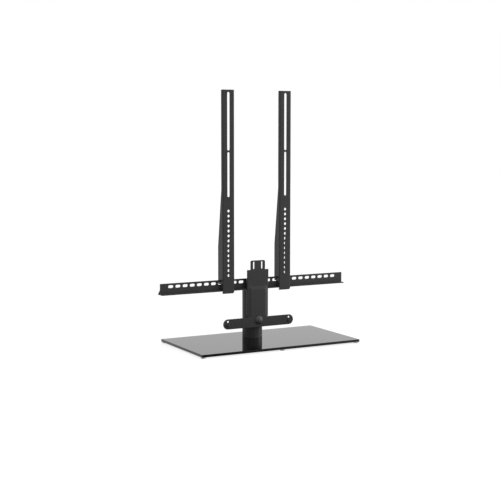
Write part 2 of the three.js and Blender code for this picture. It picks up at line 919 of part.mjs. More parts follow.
const crossbar = cutAll(prismX(barOutline, -barHalf, barHalf), barCuts);
place(mast, 'crossbar', crossbar, darkMetal());

// Block in the channel that carries the crossbar, nested between the sides
const nestHalf = channelHalf - channelSheet - fit;
const barBoltX = barBoltSlot * barSlotPitch;
const barBoltRadius = barBoltDiameter / 2;
const barBoltTip = barFront - barBoltEngagement;
const barBlock = cutAll(
  slab(
    -nestHalf,
    nestHalf,
    webBack + seat,
    barFront - seat,
    barSlotZ - barBlockHeight / 2,
    barSlotZ + barBlockHeight / 2,
  ),
  [-1, 1].map((side) => rodY(
    barBoltRadius + fit,
    barBoltTip - fit,
    barFront + overrun,
    boltFacets,
    side * barBoltX,
    barSlotZ,
  )),
);
place(mast, 'bar_block', barBlock, blackSteel());

for (const [name, side] of [['left', -1], ['right', 1]]) {
  const x = side * barBoltX;
  const washerFront = barBack + seat;
  const washerBack = washerFront + barWasherThickness;
  const washer = rodY(barWasherDiameter / 2, washerFront, washerBack, boltFacets, x, barSlotZ)
    .subtract(rodY(
      barBoltRadius + fit,
      washerFront - overrun,
      washerBack + overrun,
      boltFacets,
      x,
      barSlotZ,
    ));
  place(mast, `bar_washer_${name}`, washer, zincSteel());
  const headFront = washerBack + seat;
  const bolt = joinAll([
    rodY(barBoltHeadDiameter / 2, headFront, headFront + barBoltHeadThickness, boltFacets, x, barSlotZ),
    rodY(barBoltRadius, barBoltTip, headFront + seat, boltFacets, x, barSlotZ),
  ]);
  place(mast, `bar_bolt_${name}`, bolt, blackSteel());
}

// Rails: folded channels with a slotted face, deep lower sides and hooks
const railHalf = railWidth / 2;
const railBottom = barBottom - lipDrop - railSheet;
const railTop = railBottom + railLength;
const railUpperBack = railFront + railUpperDepth;
const railLowerBack = railFront + railLowerDepth;
const bendZ = railBottom + railBend;
const throatFront = barFront - hookPlay;
const throatBack = barBack + hookPlay;
const throatTop = barTop + fit;
const noseBottom = barTop - hookNoseDepth;
const railSection = foldedSection(railHalf, railFront, railLowerBack, railSheet, railBend);
const railSide = [
  point(railFront - overrun, railTop),
  point(railFront - overrun, bendZ),
  point(railInner, bendZ),
  point(railInner, barFootTop + footPlay),
  point(throatFront, barFootTop + footPlay),
  point(throatFront, throatTop),
  point(throatBack, throatTop),
  point(throatBack, noseBottom),
  point(railLowerBack, noseBottom),
  point(railLowerBack, railBottom + railTaperBottom),
  point(railUpperBack, railBottom + railTaperTop),
  point(railUpperBack, railTop),
];
const lipBack = railFront + lipReach;
const lipOutline = [
  point(railInner, bendZ + railSheet),
  point(railFront, bendZ + railSheet),
  ...arc(railFront + railBend, bendZ, railBend, 180, 270, bendSteps),
  point(lipBack, railBottom),
  point(lipBack, railBottom + railSheet),
  ...arc(railFront + railBend, bendZ, railBend - railSheet, 270, 180, bendSteps),
];
const lockScrewY = lipBack - lockScrewInset;
const slotTop = railTop - railTopMargin;
const slotBottom = slotTop - railLongSlotA;
const nextTop = slotBottom - railSlotBridge;
const nextBottom = nextTop - railLongSlotB;
const shortFirst = nextBottom - railShortStart;
const shortCount = 1 + Math.floor(
  (shortFirst - barTop - railShortEndMargin) / railShortPitch,
);
function railSolid() {
  const folded = prismZ(railSection, railBottom, railTop).intersect(
    prismX(railSide, -(railHalf + overrun), railHalf + overrun),
  );
  const lip = prismX(lipOutline, -(railHalf - railBend), railHalf - railBend);
  const slots = [
    uprightSlot(0, slotBottom, slotTop, railTopSlotWidth),
    uprightSlot(0, nextBottom, nextTop, railSlotWidth),
  ];
  for (let i = 0; i < shortCount; i += 1) {
    const z = shortFirst - i * railShortPitch;
    slots.push(uprightSlot(0, z - railShortSlot / 2, z + railShortSlot / 2, railSlotWidth));
  }
  const cutters = slots.map((slot) => prismY(slot, railFront - overrun, railInner + overrun));
  cutters.push(rodZ(
    lockScrewDiameter / 2 + fit,
    railBottom - overrun,
    bendZ,
    boltFacets,
    0,
    lockScrewY,
  ));
  return cutAll(folded.add(lip), cutters);
}
for (const [name, side] of [['left', -1], ['right', 1]]) {
  const carriage = new THREE.Group();
  carriage.position.set((side * railSpacing) / 2, 0, 0);
  mast.add(carriage);
  place(carriage, `${name}_rail`, railSolid(), darkMetal());
  const lockScrew = rodZ(
    lockScrewDiameter / 2,
    railBottom + lockScrewRecess,
    barBottom - fit,
    boltFacets,
    0,
    lockScrewY,
  );
  place(carriage, `${name}_lock_screw`, lockScrew, blackSteel());
}

export default stand;
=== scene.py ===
import json
import math
import bmesh
import bpy
from mathutils import Matrix, Vector


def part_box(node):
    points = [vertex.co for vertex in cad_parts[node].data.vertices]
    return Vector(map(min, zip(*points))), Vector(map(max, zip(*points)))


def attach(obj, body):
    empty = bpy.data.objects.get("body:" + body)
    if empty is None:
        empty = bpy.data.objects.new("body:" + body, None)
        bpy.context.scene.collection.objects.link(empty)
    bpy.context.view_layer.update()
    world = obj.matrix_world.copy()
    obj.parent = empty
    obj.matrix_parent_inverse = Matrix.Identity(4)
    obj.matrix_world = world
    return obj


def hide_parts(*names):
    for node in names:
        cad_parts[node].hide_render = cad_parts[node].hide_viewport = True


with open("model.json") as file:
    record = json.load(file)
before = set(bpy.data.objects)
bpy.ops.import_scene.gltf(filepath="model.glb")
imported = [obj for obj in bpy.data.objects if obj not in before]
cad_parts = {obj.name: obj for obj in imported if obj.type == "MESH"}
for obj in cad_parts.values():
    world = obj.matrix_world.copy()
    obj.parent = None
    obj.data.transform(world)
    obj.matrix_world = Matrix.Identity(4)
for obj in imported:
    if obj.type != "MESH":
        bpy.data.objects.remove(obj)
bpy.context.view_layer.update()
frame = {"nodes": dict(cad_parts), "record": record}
scene = bpy.context.scene
scene.view_settings.view_transform = "Standard"

# Sizes are in millimetres and repeat the solid model's, and angles are in degrees
MM = 0.001
MM_PER_METRE = 1000.0
COLUMN_Y = 53.5
COLUMN_RADIUS = 31.5
LOWER_BOLT_Z = 70.85
BAR_BOLT_X = 24.0
BAR_TOP = 201.4
M8_RADIUS = 4.0
M8_BORE_RADIUS = 4.3
FINE_EDGE = 0.3

# Numbers of points and steps in the curves
BORE_POINTS = 24
SLOT_STEPS = 12
HEAD_POINTS = 48
RIM_STEPS = 5
COLUMN_STEPS = 128
SCREW_STEPS = 32

# Distances, in metres, within which loose points are joined
TURNED_WELD = 0.000001
SHEET_WELD = 0.00001

# Nearly all values of a noise lie between these two
NOISE_LOW = 0.3
NOISE_HIGH = 0.7


def mm(x, y, z):
    return Vector((x, y, z)) * MM


# Camera


def look_through_camera(place, tilt, turn, lens):
    """Camera at the viewing angle of the photograph; its place is in metres."""
    data = bpy.data.cameras.new("camera")
    data.lens = lens
    data.sensor_width = 36.0
    data.sensor_fit = "HORIZONTAL"
    data.clip_start = 0.05
    data.clip_end = 60.0
    camera = bpy.data.objects.new("camera", data)
    camera.location = place
    camera.rotation_euler = (math.radians(tilt), 0.0, math.radians(turn))
    scene.collection.objects.link(camera)
    scene.camera = camera


look_through_camera(place=(-1.6491, -3.0241, 0.6390), tilt=84.255, turn=-28.07, lens=80.23)


# Node materials


def material(name):
    mat = bpy.data.materials.new(name)
    mat.use_nodes = True
    tree = mat.node_tree
    shader = tree.nodes["Principled BSDF"]
    coords = tree.nodes.new("ShaderNodeTexCoord")
    return mat, tree, shader, coords.outputs["Object"]


def noise(tree, coords, scale, detail):
    node = tree.nodes.new("ShaderNodeTexNoise")
    node.inputs["Scale"].default_value = scale
    node.inputs["Detail"].default_value = detail
    node.inputs["Roughness"].default_value = 0.55
    tree.links.new(coords, node.inputs["Vector"])
    return node.outputs["Fac"]


def stretched(tree, coords, scale):
    node = tree.nodes.new("ShaderNodeMapping")
    node.inputs["Scale"].default_value = scale
    tree.links.new(coords, node.inputs["Vector"])
    return node.outputs["Vector"]


def split(tree, vector):
    node = tree.nodes.new("ShaderNodeSeparateXYZ")
    tree.links.new(vector, node.inputs["Vector"])
    return node.outputs


def ramp(tree, value, low, high, low_at=NOISE_LOW, high_at=NOISE_HIGH):
    """Maps low_at..high_at to low..high, where low may be the output of another node."""
    node = tree.nodes.new("ShaderNodeMapRange")
    node.inputs["From Min"].default_value = low_at
    node.inputs["From Max"].default_value = high_at
    node.inputs["To Max"].default_value = high
    if isinstance(low, float):
        node.inputs["To Min"].default_value = low
    else:
        tree.links.new(low, node.inputs["To Min"])
    tree.links.new(value, node.inputs["Value"])
    return node.outputs["Result"]


def two_tone(tree, value, dark, light):
    node = tree.nodes.new("ShaderNodeValToRGB")
    node.color_ramp.elements[0].position = NOISE_LOW
    node.color_ramp.elements[0].color = (*dark, 1.0)
    node.color_ramp.elements[1].position = NOISE_HIGH
    node.color_ramp.elements[1].color = (*light, 1.0)
    tree.links.new(value, node.inputs["Fac"])
    return node.outputs["Color"]


def bump(tree, height, distance, strength, below=None):
    """Bump on top of another bump, if one is given; the distance is in metres."""
    node = tree.nodes.new("ShaderNodeBump")
    node.inputs["Distance"].default_value = distance
    node.inputs["Strength"].default_value = strength
    tree.links.new(height, node.inputs["Height"])
    if below is not None:
        tree.links.new(below, node.inputs["Normal"])
    return node.outputs["Normal"]


def powder_coat():
    """Satin coat with a fine grain over a soft orange peel, and broad patches of tone."""
    mat, tree, shader, coords = material("powder_coat")
    patches = noise(tree, coords, scale=14.0, detail=2.0)
    grain = noise(tree, coords, scale=1400.0, detail=2.0)
    peel = noise(tree, coords, scale=420.0, detail=1.0)
    tone = two_tone(
        tree, patches, dark=(0.0412, 0.0412, 0.0420), light=(0.0476, 0.0473, 0.0473),
    )
    tree.links.new(tone, shader.inputs["Base Color"])
    tree.links.new(ramp(tree, patches, low=0.37, high=0.43), shader.inputs["Roughness"])
    soft = bump(tree, peel, distance=0.00012, strength=0.22)
    fine = bump(tree, grain, distance=0.00004, strength=0.25, below=soft)
    tree.links.new(fine, shader.inputs["Normal"])
    shader.inputs["IOR"].default_value = 1.26
    return mat


def polished_glass():
    """Black glass. Its top mirrors most and its cut edges less; the front edge mirrors less still
    towards the left end, which is painted shade.
    """
    mat, tree, shader, coords = material("polished_black_glass")
    haze = noise(tree, coords, scale=9.0, detail=4.0)
    tone = two_tone(
        tree, haze, dark=(0.0035, 0.0038, 0.0042), light=(0.0055, 0.0058, 0.0062),
    )
    tree.links.new(tone, shader.inputs["Base Color"])
    tree.links.new(ramp(tree, haze, low=0.012, high=0.03), shader.inputs["Roughness"])
    wave = noise(tree, coords, scale=3.0, detail=1.0)
    tree.links.new(bump(tree, wave, distance=0.00002, strength=0.05), shader.inputs["Normal"])
    shader.inputs["IOR"].default_value = 1.5
    facing = tree.nodes.new("ShaderNodeTexCoord")
    place = split(tree, coords)
    normal = split(tree, facing.outputs["Normal"])
    # Painted shade: the front edge mirrors less towards its left end, by a ramp along X
    front = ramp(tree, place["X"], low=0.06, high=0.62, low_at=-0.27, high_at=0.27)
    sides = ramp(tree, normal["Y"], low=front, high=0.42, low_at=-0.9, high_at=-0.6)
    tint = ramp(tree, normal["Z"], low=sides, high=1.0, low_at=0.1, high_at=0.8)
    tree.links.new(tint, shader.inputs["Specular Tint"])
    return mat


def clear_silicone():
    mat, tree, shader, coords = material("clear_silicone")
    cloud = noise(tree, coords, scale=260.0, detail=3.0)
    tone = two_tone(tree, cloud, dark=(0.88, 0.90, 0.89), light=(0.94, 0.95, 0.94))
    tree.links.new(tone, shader.inputs["Base Color"])
    tree.links.new(ramp(tree, cloud, low=0.22, high=0.34), shader.inputs["Roughness"])
    tree.links.new(bump(tree, cloud, distance=0.00005, strength=0.1), shader.inputs["Normal"])
    shader.inputs["Transmission Weight"].default_value = 0.5
    shader.inputs["IOR"].default_value = 1.41
    return mat


def black_plastic():
    mat, tree, shader, coords = material("black_plastic")
    grain = noise(tree, coords, scale=900.0, detail=2.0)
    tone = two_tone(tree, grain, dark=(0.030, 0.030, 0.031), light=(0.036, 0.036, 0.037))
    tree.links.new(tone, shader.inputs["Base Color"])
    tree.links.new(ramp(tree, grain, low=0.46, high=0.54), shader.inputs["Roughness"])
    tree.links.new(bump(tree, grain, distance=0.00004, strength=0.2), shader.inputs["Normal"])
    shader.inputs["IOR"].default_value = 1.49
    return mat


def steel(name, dark, light, smooth, rough, along):
    """Steel with fine lines, of a noise that is stretched by the scale in along."""
    mat, tree, shader, coords = material(name)
    lines = noise(tree, stretched(tree, coords, along), scale=1.0, detail=3.0)
    cloud = noise(tree, coords, scale=160.0, detail=3.0)
    tree.links.new(two_tone(tree, cloud, dark, light), shader.inputs["Base Color"])
    tree.links.new(ramp(tree, lines, low=smooth, high=rough), shader.inputs["Roughness"])
    tree.links.new(bump(tree, lines, distance=0.00002, strength=0.12), shader.inputs["Normal"])
    shader.inputs["Metallic"].default_value = 1.0
    return mat


FINISH = {
    "dark_metal": powder_coat(),
    "black_glass": polished_glass(),
    "clear_pad": clear_silicone(),
    "black_plastic": black_plastic(),
    "zinc_steel": steel(
        "zinc_plated_steel", dark=(0.46, 0.47, 0.49), light=(0.60, 0.61, 0.63),
        smooth=0.22, rough=0.36, along=(900.0, 900.0, 60.0),
    ),
    "black_steel": steel(
        "black_oxide_steel", dark=(0.020, 0.020, 0.022), light=(0.034, 0.034, 0.037),
        smooth=0.26, rough=0.40, along=(800.0, 800.0, 120.0),
    ),
}


def dress_cad_nodes():
    for part in frame["record"]["subparts"]:
        node = frame["nodes"][part["node"]]
        node.data.materials.clear()
        node.data.materials.append(FINISH[part["material_slot"]])


dress_cad_nodes()


# Outlines, as lists of (u, v) points


def arc(cx, cy, radius, start, end, steps):
    points = []
    for i in range(steps + 1):
        angle = math.radians(start + (end - start) * i / steps)
        points.append((cx + radius * math.cos(angle), cy + radius * math.sin(angle)))
    return points


def circle(cx, cy, radius, points=BORE_POINTS):
    return arc(cx, cy, radius, 0, 360 - 360 / points, points - 1)


def rounded(corners, steps=5):
    """Outline from (x, y, radius) corners, with each corner rounded by its radius."""
    outline = []
    count = len(corners)
    for i, (x, y, radius) in enumerate(corners):
        if radius == 0:
            outline.append((x, y))
            continue
        here = Vector((x, y))
        before = (Vector(corners[i - 1][:2]) - here).normalized()
        after = (Vector(corners[(i + 1) % count][:2]) - here).normalized()
        half = before.angle(after) / 2
        reach = radius / math.tan(half)
        middle = here + (before + after).normalized() * (radius / math.sin(half))
        first = here + before * reach - middle
        last = here + after * reach - middle
        turn = first.angle_signed(last)
        for k in range(steps + 1):
            spoke = first.copy()
            spoke.rotate(Matrix.Rotation(-turn * k / steps, 2))
            outline.append(tuple(middle + spoke))
    return outline


def upright_slot(x, low, high, width):
    r = width / 2
    upper = arc(x, high - r, r, 0, 180, SLOT_STEPS)
    return upper + arc(x, low + r, r, 180, 360, SLOT_STEPS)


def level_slot(x, z, length, height):
    r = height / 2
    reach = length / 2 - r
    right = arc(x + reach, z, r, -90, 90, SLOT_STEPS)
    return right + arc(x - reach, z, r, 90, 270, SLOT_STEPS)


def hexagon(across_flats):
    return arc(0, 0, across_flats / math.sqrt(3), 30, 330, 5)


def cross_recess(reach, half):
    """Outline of a cross, by the reach of its arms and half their width."""
    outline = []
    quarter = [(reach, half), (half, half), (half, reach)]
    for _ in range(4):
        outline += quarter
        quarter = [(-y, x) for x, y in quarter]
    return outline


# Profiles of turned pieces, as lists of (radius, height) points


def rod(radius, low, high):
    return [(0, low), (radius, low), (radius, high), (0, high)]


def pipe(inner, outer, low, high, edge):
    return [
        (inner, low), (outer - edge, low), (outer, low + edge),
        (outer, high - edge), (outer - edge, high), (inner, high),
    ]


def threaded(radius, low, high, pitch, root=0.82):
    """Profile of a threaded end, as fine rings; root is the share of the radius left."""
    core = radius * root
    rise, crest, fall = 0.25 * pitch, 0.4 * pitch, 0.75 * pitch
    points = [(0, low), (core, low)]
    z = low + rise
    while z + pitch < high:
        points += [(radius, z + rise), (radius, z + crest), (core, z + fall)]
        z += pitch
    return points + [(core, high), (0, high)]


# Modelling helpers


def move(bm, vector):
    bmesh.ops.translate(bm, verts=bm.verts[:], vec=vector)


def tip(bm, axis):
    """Turns a mesh about X, so that what was its top points along the axis."""
    angle = {"y": -90, "-y": 90, "-z": 180}[axis]
    turn = Matrix.Rotation(math.radians(angle), 3, "X")
    bmesh.ops.rotate(bm, verts=bm.verts[:], cent=(0, 0, 0), matrix=turn)


def of_kind(made, kind):
    return [g for g in made["geom"] if isinstance(g, kind)]


def add_loop(bm, points):
    verts = [bm.verts.new(p) for p in points]
    count = len(verts)
    return [bm.edges.new((verts[i], verts[(i + 1) % count])) for i in range(count)]


def add_sheet(bm, rows):
    """Curved sheet through rows of points, each bridged to the row before."""
    before = []
    for points in rows:
        verts = [bm.verts.new(p) for p in points]
        edges = [bm.edges.new(pair) for pair in zip(verts, verts[1:])]
        if before:
            bmesh.ops.bridge_loops(bm, edges=before + edges)
        before = edges


def fill_loops(bm, loops):
    """Flat face from an outer loop and the holes in it, with few inner edges."""
    edges = []
    for points in loops:
        edges += add_loop(bm, points)
    made = bmesh.ops.triangle_fill(bm, use_beauty=True, use_dissolve=False, edges=edges)
    faces = of_kind(made, bmesh.types.BMFace)
    # The keys of a dict keep their order, so that each run gives the same faces
    inner = dict.fromkeys(e for f in faces for e in f.edges if len(e.link_faces) == 2)
    bmesh.ops.dissolve_limit(
        bm, angle_limit=math.radians(0.5), use_dissolve_boundaries=False,
        verts=[], edges=list(inner),
    )


def extruded(loops, place, along):
    """Closed solid: loops are placed by place(u, v) and extruded by the vector along."""
    bm = bmesh.new()
    fill_loops(bm, [[place(u, v) for u, v in loop] for loop in loops])
    made = bmesh.ops.extrude_face_region(bm, geom=bm.faces[:], use_keep_orig=True)
    bmesh.ops.translate(bm, verts=of_kind(made, bmesh.types.BMVert), vec=along)
    bmesh.ops.recalc_face_normals(bm, faces=bm.faces[:])
    return bm


def cut_plate(node, loops, x=0.0, z=0.0):
    """Plate from loops in X and Z about (x, z), with the place and depth of a node in Y."""
    low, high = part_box(node)
    front = low.y * MM_PER_METRE
    return extruded(
        loops, lambda u, v: mm(x + u, front, z + v), Vector((0, high.y - low.y, 0)),
    )


def turned(profile, centre, axis="z", steps=64):
    """Body of revolution about an axis through centre; open ends lie on the axis."""
    bm = bmesh.new()
    verts = [bm.verts.new(mm(r, 0, h)) for r, h in profile]
    pairs = list(zip(verts, verts[1:]))
    if profile[0][0] > 0 and profile[-1][0] > 0:
        pairs.append((verts[-1], verts[0]))
    edges = [bm.edges.new(pair) for pair in pairs]
    bmesh.ops.spin(
        bm, geom=verts + edges, cent=(0, 0, 0), axis=(0, 0, 1), dvec=(0, 0, 0),
        angle=math.tau, steps=steps, use_merge=True, use_duplicate=False,
    )
    bmesh.ops.remove_doubles(bm, verts=bm.verts[:], dist=TURNED_WELD)
    if axis != "z":
        tip(bm, axis)
    move(bm, centre)
    bmesh.ops.recalc_face_normals(bm, faces=bm.faces[:])
    return bm


def recessed_head(radius, height, recess, depth, rim):
    """Screw head on the plane Z = 0, with a rounded rim and a shaped recess in its top."""
    inward = rim * 1.6
    levels = [(radius, height - rim)]
    for k in range(1, RIM_STEPS):
        angle = math.radians(90 * k / RIM_STEPS)
        r = radius - inward * (1 - math.cos(angle))
        levels.append((r, height - rim + rim * math.sin(angle)))
    levels.append((radius - inward, height))

    bm = bmesh.new()
    edges = add_loop(bm, [mm(x, y, 0) for x, y in circle(0, 0, radius, HEAD_POINTS)])
    bmesh.ops.contextual_create(bm, geom=edges)
    for r, h in levels:
        made = bmesh.ops.extrude_edge_only(bm, edges=edges)
        edges = of_kind(made, bmesh.types.BMEdge)
        for v in of_kind(made, bmesh.types.BMVert):
            flat = Vector((v.co.x, v.co.y, 0)).normalized() * (r * MM)
            v.co = Vector((flat.x, flat.y, h * MM))
    inner = add_loop(bm, [mm(x, y, height) for x, y in recess])
    bmesh.ops.triangle_fill(bm, use_beauty=True, use_dissolve=False, edges=edges + inner)
    made = bmesh.ops.extrude_edge_only(bm, edges=inner)
    bmesh.ops.translate(bm, verts=of_kind(made, bmesh.types.BMVert), vec=mm(0, 0, -depth))
    bmesh.ops.contextual_create(bm, geom=of_kind(made, bmesh.types.BMEdge))
    bmesh.ops.recalc_face_normals(bm, faces=bm.faces[:])
    return bm


def bevel_edges(bm, edges, width, segments):
    bmesh.ops.bevel(
        bm, geom=edges, offset=width * MM, offset_type="OFFSET", affect="EDGES",
        segments=segments, profile=0.5, material=-1,
    )


def face_out(bm, outward):
    """Turns an open sheet so that its largest face looks outward."""
    bmesh.ops.recalc_face_normals(bm, faces=bm.faces[:])
    bm.normal_update()
    largest = max(bm.faces, key=lambda f: f.calc_area())
    if largest.normal.dot(outward) < 0:
        bmesh.ops.reverse_faces(bm, faces=bm.faces[:])


def merge_into(bm, other):
    """Adds the faces of one mesh to another, and frees the second."""
    mesh = bpy.data.meshes.new("join")
    other.to_mesh(mesh)
    other.free()
    bm.from_mesh(mesh)
    bpy.data.meshes.remove(mesh)


def finish_piece(name, bm, body, slot, nodes, wall=0.0, edge=FINE_EDGE):
    """Piece on a body, in place of CAD nodes. A sheet gets its wall, and edges are rounded."""
    mesh = bpy.data.meshes.new(name)
    bm.to_mesh(mesh)
    bm.free()
    mesh.materials.append(FINISH[slot])
    for polygon in mesh.polygons:
        polygon.use_smooth = True
    piece = bpy.data.objects.new(name, mesh)
    scene.collection.objects.link(piece)
    if wall:
        solid = piece.modifiers.new("wall", "SOLIDIFY")
        solid.thickness = wall * MM
        solid.offset = -1.0
        solid.use_even_offset = True
    if edge:
        bevel = piece.modifiers.new("edges", "BEVEL")
        bevel.width = edge * MM
        bevel.segments = 2
        bevel.limit_method = "ANGLE"
        bevel.angle_limit = math.radians(38)
        bevel.use_clamp_overlap = True
    even = piece.modifiers.new("normals", "WEIGHTED_NORMAL")
    even.keep_sharp = True
    even.weight = 60
    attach(piece, body)
    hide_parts(*nodes)


# Places of CAD nodes


def heights(node):
    """Lowest and highest Z of a node, in millimetres."""
    low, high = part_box(node)
    return low.z * MM_PER_METRE, high.z * MM_PER_METRE


def mid_height(node):
    low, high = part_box(node)
    return (low.z + high.z) / 2 * MM_PER_METRE


def mid_point(node, z=0.0):
    """Middle of a node in X and Y, at a height in millimetres."""
    low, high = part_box(node)
    centre = (low + high) / 2
    return Vector((centre.x, centre.y, z * MM))


# Glass foot, with what is under it


def glass_foot():
    corner_radius, arris = 1.2, 0.6
    sharp = 1.0  # radians; the edges of a rounded corner turn less
    low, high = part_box("glass_base")
    size = high - low
    bm = bmesh.new()
    bmesh.ops.create_cube(bm, size=1.0)
    bmesh.ops.scale(bm, verts=bm.verts[:], vec=size)
    move(bm, (low + high) / 2)
    upright = [e for e in bm.edges if abs(e.verts[0].co.z - e.verts[1].co.z) > size.z / 2]
    bevel_edges(bm, upright, corner_radius, 4)
    rims = [e for e in bm.edges if len(e.link_faces) == 2 and e.calc_face_angle() > sharp]
    bevel_edges(bm, rims, arris, 3)
    finish_piece("glass_foot", bm, "base", "black_glass", ["glass_base"], edge=0)


glass_foot()


def pads():
    """Round silicone feet, softly rounded at the bottom."""
    profile = [
        (0, 0), (5.6, 0), (6.3, 0.15), (6.9, 0.6), (7.3, 1.4), (7.5, 2.4), (7.5, 3.9), (0, 3.9),
    ]
    for row in ("front", "back"):
        for side in ("left", "middle", "right"):
            node = f"pad_{row}_{side}"
            bm = turned(profile, mid_point(node), steps=48)
            finish_piece(f"bumper_{row}_{side}", bm, "base", "clear_pad", [node], edge=0.15)


pads()


def under_glass():
    """Steel disc that clamps the glass, and its three countersunk screws."""
    radius, edge = 45.0, 0.6
    bottom, top = heights("under_plate")
    profile = [
        (0, bottom), (radius - edge, bottom), (radius, bottom + edge), (radius, top), (0, top),
    ]
    bm = turned(profile, mm(0, COLUMN_Y, 0), steps=96)
    finish_piece("steel_disc", bm, "base", "black_steel", ["under_plate"], edge=0.2)
    head_radius, head_height, head_plane = 6.0, 1.3, 1.8
    shank_radius, shank_low, shank_high = 3.0, 1.7, 17.1
    for number in (1, 2, 3):
        node = f"base_screw_{number}"
        recess = cross_recess(reach=1.9, half=0.5)
        bm = recessed_head(head_radius, head_height, recess, depth=0.9, rim=0.5)
        tip(bm, "-z")
        move(bm, mid_point(node, head_plane))
        shank = turned(rod(shank_radius, shank_low, shank_high), mid_point(node), steps=24)
        merge_into(bm, shank)
        finish_piece(f"plate_screw_{number}", bm, "base", "zinc_steel", [node], edge=0.08)


under_glass()


# Column


def column():
    axis = mm(0, COLUMN_Y, 0)
    bottom, top = heights("column_tube")
    bm = turned(pipe(29.0, COLUMN_RADIUS, bottom, top, 0.4), axis, steps=COLUMN_STEPS)
    finish_piece("column", bm, "mast", "dark_metal", ["column_tube"], edge=0)
    bottom, top = heights("slip_ring")
    bm = turned(pipe(28.3, COLUMN_RADIUS, bottom, top, 0.2), axis, steps=COLUMN_STEPS)
    finish_piece("foot_ring", bm, "base", "black_plastic", ["slip_ring"], edge=0)
    top = heights("tube_cap")[1]
    lid, skirt, plug, wall = 3.0, 11.0, 28.7, 2.0
    profile = [
        (0, top), (26.0, top), (29.6, top - 0.15), (30.9, top - 0.6),
        (COLUMN_RADIUS, top - 1.6), (COLUMN_RADIUS, top - lid), (plug, top - lid),
        (plug, top - skirt), (plug - wall, top - skirt), (plug - wall, top - lid), (0, top - lid),
    ]
    bm = turned(profile, axis, steps=COLUMN_STEPS)
    finish_piece("column_cap", bm, "mast", "black_plastic", ["tube_cap"], edge=0.15)


column()


def saddles():
    """Blocks that seat the flat adapter and the flat washers on the round column."""
    seat_radius, seat_steps = 31.8, 24

    def block(name, outline, edge):
        low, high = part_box(name)
        base = low.z * MM_PER_METRE
        rise = Vector((0, 0, high.z - low.z))
        bm = extruded([outline], lambda u, v: mm(u, v, base), rise)
        finish_piece(name + "_block", bm, "mast", "black_steel", [name], edge=edge)

    half = 18.0
    side = math.degrees(math.acos(half / seat_radius))
    hollow = arc(0, COLUMN_Y, seat_radius, -side, side - 180, seat_steps)
    for name in ("saddle_lower", "saddle_upper"):
        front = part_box(name)[0].y * MM_PER_METRE
        block(name, [(-half, front), (half, front)] + hollow, edge=0.8)
    half, back = 11.0, 89.5
    side = math.degrees(math.acos(half / seat_radius))
    hollow = arc(0, COLUMN_Y, seat_radius, 180 - side, side, seat_steps)
    for name in ("rear_washer_lower", "rear_washer_upper"):
        block(name, [(half, back), (-half, back)] + hollow, edge=0.7)


saddles()


# Channel adapter with its head plate and tab


def channel_adapter():
    """Folded sheet with a pressed panel, a tongue below and a slotted tab above."""
    sheet, front, back, half, bend = 3.0, 15.5, 22.5, 37.5, 3.5
    flat = half - bend
    tongue, low_z, shoulder, corner = 21.5, 54.0, 77.75, 10.0
    fold_top, head_low, head_top = 200.0, BAR_TOP, 229.7
    tab, tab_top, tab_corner = 25.4, 258.8, 5.0
    slot_x, slot_low, slot_high, slot_width = 14.3, 231.7, 255.4, 5.4
    panel_top, panel_corner, panel_slope = 179.7, 5.0, 1.25
    raise_by, slant, soft, soft_steps = 3.5, 8.25, 0.75, 3
    bend_steps, panel_steps, tab_steps = 6, 6, 8

    def mirrored(right):
        return right + [(-x, z) for x, z in reversed(right)]

    def corner_z(x):
        """Height of the lower edge, which is rounded at the sides."""
        over = min(corner, max(0.0, x - (half - corner)))
        return shoulder + corner - math.sqrt(corner * corner - over * over)

    def crease(inset):
        """Line around the panel, at a distance in from the flat of the sheet."""
        side, top = flat - inset, panel_top - panel_slope * inset
        cx, cz = side - panel_corner, top - panel_corner
        turn = arc(cx, cz, panel_corner, 0, 90, panel_steps)
        return mirrored([(side, corner_z(side))] + turn)

    # Section of the slope from the flat to the panel, as (inset, lift) with soft bends
    tilt = math.atan2(raise_by, slant)
    radius = soft / math.tan(tilt / 2)
    turns = [tilt * k / soft_steps for k in range(soft_steps + 1)]
    section = [(radius * math.sin(t), radius * (1 - math.cos(t))) for t in turns]
    section += [(slant + 2 * soft - x, raise_by - y) for x, y in reversed(section)]

    # Flat of the sheet above and around the panel, with the head plate and tab
    bm = bmesh.new()
    head = [
        (flat, fold_top), (flat, head_low), (half, head_low), (half, head_top), (tab, head_top),
    ]
    head += arc(tab - tab_corner, tab_top - tab_corner, tab_corner, 0, 90, tab_steps)
    outer = crease(0)[1:-1]
    outline = mirrored(head) + list(reversed(outer))
    holes = [upright_slot(x, slot_low, slot_high, slot_width) for x in (-slot_x, slot_x)]
    fill_loops(bm, [[mm(u, front, v) for u, v in loop] for loop in [outline] + holes])

    # Raised panel with the tongue and the bore of the lower bolt
    inner = crease(section[-1][0]) + [
        (-tongue, shoulder), (-tongue, low_z), (tongue, low_z), (tongue, shoulder),
    ]
    loops = [inner, circle(0, LOWER_BOLT_Z, M8_BORE_RADIUS)]
    fill_loops(bm, [[mm(u, front - raise_by, v) for u, v in loop] for loop in loops])

    # Slope between the two
    rows = [[mm(x, front - lift, z) for x, z in crease(inset)] for inset, lift in section]
    add_sheet(bm, rows)

    # Bends, in two stretches that join where the edge of the panel starts to turn, and sides
    joint = outer[0][1]
    for side in (-1, 1):
        lower, upper = [], []
        for k in range(bend_steps + 1):
            angle = math.radians(90 * k / bend_steps)
            x, y = flat + bend * math.sin(angle), front + bend - bend * math.cos(angle)
            lower.append([mm(side * x, y, z) for z in (corner_z(x), joint)])
            upper.append([mm(side * x, y, z) for z in (joint, fold_top)])
        add_sheet(bm, lower)
        add_sheet(bm, upper)
        flange = [
            (front + bend, corner_z(half)), (back, corner_z(half)),
            (back, fold_top), (front + bend, fold_top), (front + bend, joint),
        ]
        fill_loops(bm, [[mm(side * half, y, z) for y, z in flange]])
    bmesh.ops.remove_doubles(bm, verts=bm.verts[:], dist=SHEET_WELD)
    face_out(bm, Vector((0, -1, 0)))
    finish_piece("adapter", bm, "mast", "dark_metal", ["mast_channel"], wall=sheet, edge=0.4)


channel_adapter()


